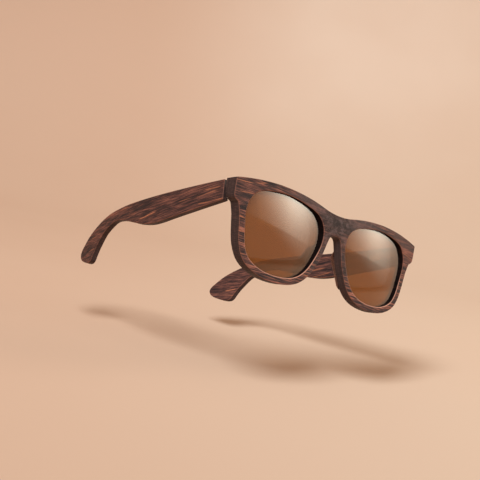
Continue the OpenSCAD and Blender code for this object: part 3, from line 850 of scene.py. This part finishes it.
# ---- Stage -------------------------------------------------------------------------------------
AIM = Vector((0, 0, 0.024))
FLOOR_UP = Vector((-0.1611, -0.1836, 0.9697)).normalized()
FLOOR_AT = AIM - FLOOR_UP * 0.0628
KEY_FROM, FILL_FROM = Vector((-0.7321, -0.5233, 0.4361)), Vector((0.55, -0.70, 0.46))
PALE, CLOUD = (0.74, 0.51, 0.36), (0.70, 0.50, 0.365)
# The backdrop from the left to the right of the camera's view, low and high: painted light, darker
# to the left and lower down, lighter to the right and higher up
LOW_PAINTED_LIGHT_TONES = ((0.0, (0.660, 0.450, 0.321)), (1.0, (0.705, 0.530, 0.395)))
HIGH_PAINTED_LIGHT_TONES = ((0.0, (0.705, 0.495, 0.362)), (1.0, (0.810, 0.650, 0.520)))
GLOW, GLOW_STRENGTH, GLOW_FAR = (1.0, 0.95, 0.78, 1), 12.6, 0.8
SKY, SKY_STRENGTH = (1.0, 0.720, 0.540, 1), 0.42


def pale_material():
    """Warm backdrop carrying painted light, lighter to the right and higher up, which isn't seen
    from behind.
    """
    n = Nodes(bpy.data.materials.new("pale_backdrop"))
    at = n.add("TexCoord").outputs["Object"]
    aside = n.span(n.dot(at, CAM_RIGHT), -0.16, 0.16)
    up = n.span(n.dot(at, CAM_UP), 0.02, 0.36)
    col = n.mix(up, n.ramp(aside, *LOW_PAINTED_LIGHT_TONES), n.ramp(aside, *HIGH_PAINTED_LIGHT_TONES))
    cloud = n.noise(at, (6, 6, 6), 2.0)
    col = n.mix(n.span(cloud, 0.3, 0.7, 0.0, 0.22), col, CLOUD)
    matt = n.add("BsdfDiffuse", {"Color": col, "Roughness": 0.5})
    behind = n.add("NewGeometry").outputs["Backfacing"]
    clear = n.add("BsdfTransparent").outputs[0]
    return n.show(n.add("MixShader", {0: behind, 1: matt.outputs[0], 2: clear}))


def sheet(name, rows, bm):
    """A stage object: a sheet through rows of mesh points."""
    for a, b in zip(rows, rows[1:]):
        for k in range(len(a) - 1):
            bm.faces.new((a[k], a[k + 1], b[k + 1], b[k]))
    mesh = bpy.data.meshes.new(name)
    bm.to_mesh(mesh)
    bm.free()
    o = bpy.data.objects.new(name, mesh)
    scene.collection.objects.link(o)
    return o


def sweep():
    """A floor that curves up behind the object, away from the camera."""
    away = -CAM_BACK - FLOOR_UP * (-CAM_BACK).dot(FLOOR_UP)
    away.normalize()
    across = away.cross(FLOOR_UP)
    reach, bend, tall, wide = 0.55, 0.6, 2.2, 2.4
    line = [(-2.5, 0.0), (-0.6, 0.0), (0.0, 0.0), (reach, 0.0)]
    line += [(reach + bend * math.sin(a), bend - bend * math.cos(a))
        for a in (math.radians(90) * i / 24 for i in range(1, 25))]
    line.append((reach + bend, tall))
    bm = bmesh.new()
    rows = []
    for u, h in line:
        middle = FLOOR_AT + away * u + FLOOR_UP * h
        rows.append([bm.verts.new(middle + across * wide * (k / 8 - 0.5) * 2) for k in range(9)])
    o = sheet("backdrop", rows, bm)
    for p in o.data.polygons:
        p.use_smooth = True
    clothe(o, pale_material())


def glow_wall():
    """A bright wall off to the wearer's left, which the lenses mirror: it begins above a
    sloping line and fades towards the front, the far side and the top."""
    wide, high = 40, 24
    bm = bmesh.new()
    rows = []
    for a in (math.radians(2 + 96 * i / wide) for i in range(wide + 1)):
        heights = [math.radians(2 + 50 * j / high) for j in range(high + 1)]
        rows.append([bm.verts.new(AIM + GLOW_FAR * Vector((math.cos(e) * math.sin(a),
            -math.cos(e) * math.cos(a), math.sin(e)))) for e in heights])
    o = sheet("glow_wall", rows, bm)
    n = Nodes(bpy.data.materials.new("glow"))
    xyz = n.parts(n.add("TexCoord").outputs["Object"])
    x, z = xyz[0], xyz[2]
    edge = n.span(n.plus(z, n.times(x, 0.167)), 0.256, 0.266, 0.0, 0.060)
    edge = n.times(edge, n.span(x, 0.0, 0.5))
    rise = n.span(n.plus(z, n.times(x, 0.43)), 0.288, 0.870)
    rise = n.times(rise, n.span(x, 0.068, 0.780))
    fade = n.times(n.span(x, 0.505, 0.787, 1.0, 0.02), n.span(z, 0.42, 0.64, 1.0, 0.2))
    share = n.times(n.plus(edge, rise), fade)
    shine = n.add("Emission", {"Color": GLOW, "Strength": n.times(share, GLOW_STRENGTH)})
    clear = n.add("BsdfTransparent")
    clothe(o, n.show(n.add("AddShader", {0: shine.outputs[0], 1: clear.outputs[0]})))
    o.visible_camera = o.visible_transmission = o.visible_diffuse = o.visible_shadow = False


def room_light():
    """Fill light from all sides. Where it shows by itself, the room is as pale as the backdrop."""
    scene.world = bpy.data.worlds.new("room")
    n = Nodes(scene.world, "OutputWorld")
    rays = n.add("LightPath").outputs
    seen = rays["Is Camera Ray"]
    for ray in ("Is Transmission Ray", "Is Glossy Ray"):
        seen = n.math("MAXIMUM", seen, rays[ray])
    sky = n.add("Background", {0: SKY, 1: SKY_STRENGTH})
    pale = n.add("Background", {0: (*PALE, 1), 1: 1.0})
    n.show(n.add("MixShader", {0: seen, 1: sky.outputs[0], 2: pale.outputs[0]}))


def lamp(name, toward, power, colour, distance, size):
    """An area lamp that looks at the object from a direction."""
    o = bpy.data.objects.new(name, bpy.data.lights.new(name, "AREA"))
    o.data.energy, o.data.color, o.data.size = power, colour, size
    d = toward.normalized()
    o.location = AIM + d * distance
    o.rotation_mode = "QUATERNION"
    o.rotation_quaternion = d.to_track_quat("Z", "Y")
    scene.collection.objects.link(o)
    return o


sweep()
glow_wall()
room_light()
key = lamp("key", KEY_FROM, power=7.42, colour=(0.837, 0.933, 1.0), distance=0.658, size=0.22)
key.data.shape = "DISK"
# Near enough for the photo's shadow, but as even as a far lamp
key.data.use_nodes = True
key_tree = key.data.node_tree
even = key_tree.nodes.new("ShaderNodeLightFalloff")
even.inputs["Strength"].default_value = 1.0
key_tree.links.new(even.outputs["Constant"], key_tree.nodes["Emission"].inputs["Strength"])
soft_lamp = lamp("fill", FILL_FROM, power=2.6, colour=(1, 0.93, 0.86), distance=0.9, size=0.5)
soft_lamp.visible_glossy = False
